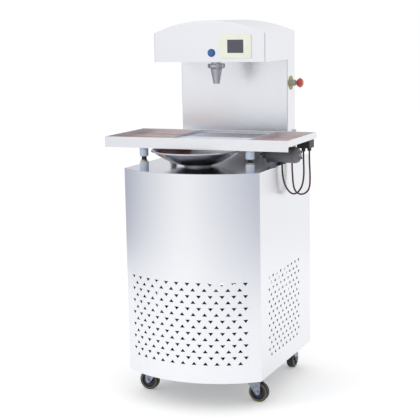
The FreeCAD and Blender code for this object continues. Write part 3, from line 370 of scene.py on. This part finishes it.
def moulded_plastic(name, colour, roughness=0.42, grain=900.0, coat=0.0):
    """Moulded plastic with a fine texture and slight tone changes."""
    finish = Finish(name, colour, roughness)
    pores = finish.noise(even(grain), 2.0, 0.6)
    tone = finish.noise(even(18.0))
    finish.paint(finish.mixed(tone, scaled(colour, 1.06), scaled(colour, 0.90)))
    finish.roughness(pores * 0.12 + (roughness - 0.06))
    finish.bump(pores, 0.00004, 0.3)
    finish.set(Coat_Weight=coat)
    return finish.material


def cast_paint(name, colour, roughness=0.5):
    """Paint over a cast or drawn metal skin: orange peel and grime."""
    finish = Finish(name, colour, roughness)
    peel = finish.noise(even(260.0))
    grime = finish.noise(even(22.0), 4.0, 0.65).between(0.45, 0.75)
    finish.paint(finish.mixed(grime, scaled(colour, 1.05), scaled(colour, 0.62)))
    finish.roughness(peel * 0.14 + grime * 0.10 + (roughness - 0.1))
    finish.bump(peel, 0.00015, 0.4)
    return finish.material


def zinc_plate(name, colour):
    """Zinc-plated pressed steel with pale blooms."""
    finish = Finish(name, colour, 0.38, 0.85)
    bloom = finish.noise(even(70.0), 3.0, 0.6).between(0.4, 0.7)
    finish.paint(finish.mixed(bloom, colour, scaled(colour, 0.72)))
    finish.roughness(bloom * 0.18 + 0.28)
    finish.bump(bloom, 0.00005, 0.3)
    return finish.material


def rubber(name, colour, roughness=0.62):
    """Rubber or cable jacket with a dusting of grey."""
    finish = Finish(name, colour, roughness)
    dust = finish.noise(even(120.0), 3.0, 0.6)
    finish.paint(finish.mixed(dust, scaled(colour, 0.8), scaled(colour, 1.5)))
    finish.roughness(dust * 0.2 + (roughness - 0.1))
    finish.bump(dust, 0.00006, 0.4)
    return finish.material


def wheel_finish(name, centre, axis, ring):
    """A caster wheel by distance from its axle: dark hub, olive tyre side, black tread."""
    finish = Finish(name, ring, 0.5)
    reach = finish.distance(centre, tuple(0.0 if i == axis else 1.0 for i in range(3)))
    scuffs = finish.noise(even(150.0), 3.0, 0.6)
    hub = finish.mixed(scuffs, (0.010, 0.012, 0.025), (0.030, 0.036, 0.070))
    side = finish.mixed(scuffs, scaled(ring, 0.8), scaled(ring, 1.3))
    tread = finish.mixed(scuffs, (0.006, 0.006, 0.006), (0.020, 0.019, 0.016))
    inner = finish.mixed(reach > HUB_REACH, hub, side)
    finish.paint(finish.mixed(reach > TYRE_SIDE_REACH, inner, tread))
    finish.roughness(scuffs * 0.2 + 0.42)
    finish.bump(scuffs, 0.00006, 0.4)
    return finish.material


def finished(name, shape, material):
    """Turn a bmesh into a smooth-shaded object at the origin."""
    mesh = bpy.data.meshes.new(name)
    shape.to_mesh(mesh)
    shape.free()
    mesh.materials.append(material)
    mesh.shade_smooth()
    piece = bpy.data.objects.new(name, mesh)
    bpy.context.scene.collection.objects.link(piece)
    return piece


def dress(material, *node_names):
    """Give CAD nodes their finish."""
    for name in node_names:
        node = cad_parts[name]
        node.data.materials.clear()
        node.data.materials.append(material)


# ---- pieces -----------------------------------------------------------------------------------

class TEMPERING_OT_camera(bpy.types.Operator):
    """Set up the camera"""
    bl_idname = "tempering.camera"
    bl_label = "Camera"

    def execute(self, context):
        settings = context.scene.tempering_camera
        data = bpy.data.cameras.new("camera")
        data.lens = settings.lens
        data.sensor_width = SENSOR_WIDTH
        data.clip_end = CLIP_END
        camera = bpy.data.objects.new("camera", data)
        aim = Euler((settings.tilt, 0.0, settings.heading), "XYZ").to_matrix()
        turn = aim @ Matrix.Rotation(settings.roll, 3, "Z")
        camera.matrix_world = Matrix.Translation(settings.place) @ turn.to_4x4()
        context.scene.collection.objects.link(camera)
        context.scene.camera = camera
        return {"FINISHED"}


def cable(name, route, width, material):
    """A hanging lead: one smooth spline through its route, with a round section."""
    data = bpy.data.curves.new(name, "CURVE")
    data.dimensions = "3D"
    spline = data.splines.new("NURBS")
    spline.points.add(len(route) - 1)
    for point, place in zip(spline.points, route):
        point.co = (*place, 1.0)
    spline.order_u = CABLE_ORDER
    spline.use_endpoint_u = True
    data.bevel_depth = width / 2
    data.bevel_resolution = CABLE_ROUND_STEPS
    data.resolution_u = CABLE_STEPS
    data.use_fill_caps = True
    data.materials.append(material)
    lead = bpy.data.objects.new(name, data)
    bpy.context.scene.collection.objects.link(lead)
    return lead


def route_length(lead):
    """Length of a curve's own smooth line."""
    bare = lead.data.copy()
    bare.bevel_depth = 0.0
    holder = bpy.data.objects.new("measure", bare)
    mesh = bpy.data.meshes.new_from_object(holder)
    points = [v.co for v in mesh.vertices]
    length = sum((b - a).length for a, b in zip(points, points[1:]))
    bpy.data.objects.remove(holder)
    bpy.data.meshes.remove(mesh)
    return length


class TEMPERING_OT_cables(bpy.types.Operator):
    """Hang the two cables at the right-hand side"""
    bl_idname = "tempering.cables"
    bl_label = "Cables"

    def execute(self, context):
        width = context.scene.tempering_parts.cable_width
        black = rubber("black jacket", (0.012, 0.008, 0.008), 0.45)
        red = rubber("dark red jacket", (0.09, 0.012, 0.012), 0.45)
        for name, route, jacket, slot, body, node in (
                ("lead_black", BLACK_ROUTE, black, "cable_jacket", "table", "cable_black"),
                ("lead_red", RED_ROUTE, red, "cable_jacket_red", "machine", "cable_red")):
            lead = cable(name, route, width, jacket)
            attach(lead, body)
            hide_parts(node)
            route_length(lead)
        return {"FINISHED"}


class TEMPERING_OT_cabinet(bpy.types.Operator):
    """Finish the cabinet, column and head"""
    bl_idname = "tempering.cabinet"
    bl_label = "Cabinet and head"

    def execute(self, context):
        steel = context.scene.tempering_steel
        gloss = steel.satin_roughness
        dress(satin_sheet("brushed panels", steel.satin, gloss, PANEL_GRAIN),
              "front_panel", "side_panel_left", "side_panel_right", "back_panel")
        dress(satin_sheet("brushed housing", steel.satin, gloss, HOUSING_GRAIN),
              "column_shell", "head_shell", "head_underside", "housing_back_cover")
        dress(satin_sheet("deck plate", scaled(steel.satin, 0.92), 0.14, DECK_GRAIN, 0.02),
              "deck_plate")
        dress(zinc_plate("galvanised pan", (0.42, 0.43, 0.45)), "base_pan")
        dress(zinc_plate("screw plating", (0.55, 0.55, 0.56)), "cover_screws")
        return {"FINISHED"}


class TEMPERING_OT_machinery(bpy.types.Operator):
    """Finish the machinery inside the cabinet"""
    bl_idname = "tempering.machinery"
    bl_label = "Machinery"

    def execute(self, context):
        dress(cast_paint("frame paint", (0.05, 0.05, 0.055)), "chassis_frame", "motor_stand")
        dress(cast_paint("motor paint", (0.20, 0.21, 0.22)),
              "gear_motor", "fan_motor", "control_box")
        dress(cast_paint("compressor paint", (0.012, 0.012, 0.014), 0.4),
              "compressor", "fan_shroud")
        dress(polished_steel("pipe steel", (0.55, 0.55, 0.57), 0.25),
              "suction_pipe", "auger_tube", "auger_screw", "delivery_pipe")
        dress(zinc_plate("condenser fins", (0.30, 0.31, 0.32)), "condenser")
        dress(zinc_plate("collar metal", (0.40, 0.40, 0.42)), "bowl_collar")
        dress(moulded_plastic("fan plastic", (0.02, 0.02, 0.022)), "fan_blade")
        return {"FINISHED"}


class TEMPERING_OT_bowl_and_spout(bpy.types.Operator):
    """Finish the bowl and the dosing spout"""
    bl_idname = "tempering.bowl_and_spout"
    bl_label = "Bowl and spout"

    def execute(self, context):
        polished = context.scene.tempering_steel.polished
        dress(polished_steel("bowl steel", polished, 0.20, 0.0006), "bowl")
        dress(polished_steel("nozzle steel", scaled(polished, 0.62), 0.24), "spout_nozzle")
        dress(polished_steel("nut steel", scaled(polished, 0.75), 0.22), "spout_nut")
        return {"FINISHED"}


class TEMPERING_OT_table(bpy.types.Operator):
    """Finish the vibrating table and what carries it"""
    bl_idname = "tempering.table"
    bl_label = "Vibrating table"

    def execute(self, context):
        steel = context.scene.tempering_steel
        parts = context.scene.tempering_parts
        dress(satin_sheet("table rim", scaled(steel.satin, 0.98), 0.26, RIM_GRAIN),
              "table_rim", "table_dividers", "table_rails")
        dress(stained_steel("well floor", steel.copper, (0.60, 0.40, 0.36)), "table_floor")
        dress(satin_sheet("mould plate", (0.74, 0.80, 0.90), 0.22, MOULD_PLATE_GRAIN),
              "mould_plate")
        dress(polished_steel("grate rods", (0.60, 0.62, 0.66), 0.3), "mould_grate")
        dress(moulded_plastic("sleeve plastic", parts.sleeve, 0.5), "buffer_feet", "buffer_caps")
        dress(rubber("buffer rubber", (0.012, 0.012, 0.014)), "buffer_necks")
        dress(zinc_plate("brass nuts", (0.50, 0.40, 0.25)), "buffer_nuts")
        return {"FINISHED"}


class TEMPERING_OT_wiring(bpy.types.Operator):
    """Finish the vibrator motor and the cable boxes"""
    bl_idname = "tempering.wiring"
    bl_label = "Vibrator and boxes"

    def execute(self, context):
        dress(cast_paint("vibrator paint", (0.13, 0.135, 0.15), 0.42), "vibrator_motor")
        dress(moulded_plastic("cable boxes", (0.03, 0.028, 0.028), 0.5),
              "junction_box", "deck_cable_outlet")
        return {"FINISHED"}


class TEMPERING_OT_controls(bpy.types.Operator):
    """Finish the screen, push button and emergency stop"""
    bl_idname = "tempering.controls"
    bl_label = "Controls"

    def execute(self, context):
        parts = context.scene.tempering_parts
        dress(moulded_plastic("screen frame", parts.bezel, 0.4), "screen_bezel")
        dress(moulded_plastic("display", parts.screen, 0.18, 300.0, 0.3), "screen_glass")
        dress(moulded_plastic("button ring", scaled(parts.button, 0.8), 0.3), "button_collar")
        dress(moulded_plastic("button cap", parts.button, 0.25, 400.0, 0.3), "dispense_button")
        dress(moulded_plastic("stop plate", parts.stop_yellow, 0.45), "estop_plate")
        dress(moulded_plastic("stop collar", (0.40, 0.40, 0.39), 0.4),
              "estop_collar", "estop_stem")
        dress(moulded_plastic("stop head", parts.stop_red, 0.3, 500.0, 0.2), "estop_mushroom")
        return {"FINISHED"}


class TEMPERING_OT_casters(bpy.types.Operator):
    """Finish the four casters"""
    bl_idname = "tempering.casters"
    bl_label = "Casters"

    def execute(self, context):
        ring = context.scene.tempering_parts.tyre_ring
        fork = zinc_plate("caster steel", (0.30, 0.33, 0.40))
        dress(fork, "caster_plates")
        for corner in CORNERS:
            wheel = "caster_wheel_" + corner
            low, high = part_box(wheel)
            size = high - low
            axis = 0 if size.x < size.y else 1
            dress(fork, "caster_fork_" + corner)
            dress(wheel_finish("wheel " + corner, (low + high) / 2, axis, ring), wheel)
        return {"FINISHED"}


def studio_wall(settings):
    """A round wall, seen only in gloss: bright in front and behind, dimmer at both sides."""
    finish = Finish("studio wall", BLACK, 1.0)
    toward = (math.sin(settings.wall_heading), -math.cos(settings.wall_heading), 0.0)
    level = finish.vector("MULTIPLY", finish.place, (1.0, 1.0, 0.0))
    along = finish.vector("DOT_PRODUCT", finish.vector("NORMALIZE", level), toward,
                          output="Value")
    away = finish.math("ARCCOSINE", along)
    front = 1.0 - away * FRONT_FALL
    behind = away * BACK_RISE - BACK_OFFSET
    share = finish.math("MAXIMUM", finish.math("MAXIMUM", front, behind), 0.0, clamp=True)
    finish.glow(finish.mixed(share, settings.wall_dark, settings.wall_bright))
    finish.set(Specular_IOR_Level=0.0)
    shape = bmesh.new()
    bmesh.ops.create_cone(shape, segments=WALL_SEGMENTS, radius1=WALL_RADIUS,
                          radius2=WALL_RADIUS, depth=WALL_HEIGHT)
    bmesh.ops.translate(shape, vec=(0.0, 0.0, WALL_HEIGHT / 2), verts=shape.verts)
    wall = finished("studio_wall", shape, finish.material)
    wall.visible_camera = False
    wall.visible_diffuse = False
    wall.visible_shadow = False
    wall.visible_transmission = False


def floor(settings):
    """A pale floor, lifted to white as seen and in gloss, which keeps the machine's shadow."""
    finish = Finish("studio floor", settings.floor_colour, 1.0)
    finish.set(Specular_IOR_Level=0.0)
    finish.glow(finish.mixed(finish.seen_share(), BLACK, (settings.floor_lift,) * 3))
    shape = bmesh.new()
    bmesh.ops.create_grid(shape, x_segments=1, y_segments=1, size=FLOOR_HALF_WIDTH)
    finished("floor", shape, finish.material)


def surroundings(context, settings):
    """An even white sky, at full white where it is seen or mirrored."""
    world = bpy.data.worlds.new("studio")
    context.scene.world = world
    world.use_nodes = True
    sky = Graph(world.node_tree)
    background = sky.tree.nodes["Background"]
    background.inputs["Color"].default_value = (1.0, 1.0, 1.0, 1.0)
    strength = sky.seen_share() * (1.0 - settings.sky_light) + settings.sky_light
    sky.feed(background.inputs["Strength"], strength)


def lamp(context, name, place, width, power):
    """A square lamp that looks at the middle of the machine."""
    data = bpy.data.lights.new(name, "AREA")
    data.shape = "SQUARE"
    data.size = width
    data.energy = power
    light = bpy.data.objects.new(name, data)
    turn = (LAMP_AIM - Vector(place)).to_track_quat("-Z", "Y").to_matrix()
    light.matrix_world = Matrix.Translation(place) @ turn.to_4x4()
    context.scene.collection.objects.link(light)


class TEMPERING_OT_stage(bpy.types.Operator):
    """Lay the floor and set the surroundings and lamps"""
    bl_idname = "tempering.stage"
    bl_label = "Stage"

    def execute(self, context):
        settings = context.scene.tempering_stage
        floor(settings)
        surroundings(context, settings)
        studio_wall(settings)
        lamp(context, "key", KEY_PLACE, KEY_WIDTH, settings.key_power)
        lamp(context, "fill", FILL_PLACE, FILL_WIDTH, settings.fill_power)
        return {"FINISHED"}


# ---- add-on -----------------------------------------------------------------------------------

SETTINGS = {
    "tempering_camera": CameraSettings,
    "tempering_stage": StageSettings,
    "tempering_steel": SteelSettings,
    "tempering_parts": PartSettings,
}
STEPS = (
    TEMPERING_OT_camera,
    TEMPERING_OT_cables,
    TEMPERING_OT_cabinet,
    TEMPERING_OT_machinery,
    TEMPERING_OT_bowl_and_spout,
    TEMPERING_OT_table,
    TEMPERING_OT_wiring,
    TEMPERING_OT_controls,
    TEMPERING_OT_casters,
    TEMPERING_OT_stage,
)


class TEMPERING_PT_panel(bpy.types.Panel):
    """Lists the steps that dress the machine"""
    bl_idname = "TEMPERING_PT_panel"
    bl_label = "Tempering machine"
    bl_space_type = "VIEW_3D"
    bl_region_type = "UI"
    bl_category = "Tempering"

    def draw(self, context):
        for step in STEPS:
            self.layout.operator(step.bl_idname)
        for name, group in SETTINGS.items():
            box = self.layout.box()
            for key in group.__annotations__:
                box.prop(getattr(context.scene, name), key)


def register():
    for name, group in SETTINGS.items():
        bpy.utils.register_class(group)
        setattr(bpy.types.Scene, name, bpy.props.PointerProperty(type=group))
    for step in STEPS:
        bpy.utils.register_class(step)
    bpy.utils.register_class(TEMPERING_PT_panel)


def unregister():
    bpy.utils.unregister_class(TEMPERING_PT_panel)
    for step in reversed(STEPS):
        bpy.utils.unregister_class(step)
    for name, group in SETTINGS.items():
        delattr(bpy.types.Scene, name)
        bpy.utils.unregister_class(group)


def main():
    register()
    bpy.context.scene.view_settings.view_transform = "Standard"
    for step in STEPS:
        area, name = step.bl_idname.split(".")
        getattr(getattr(bpy.ops, area), name)()


if __name__ == "__main__":
    main()
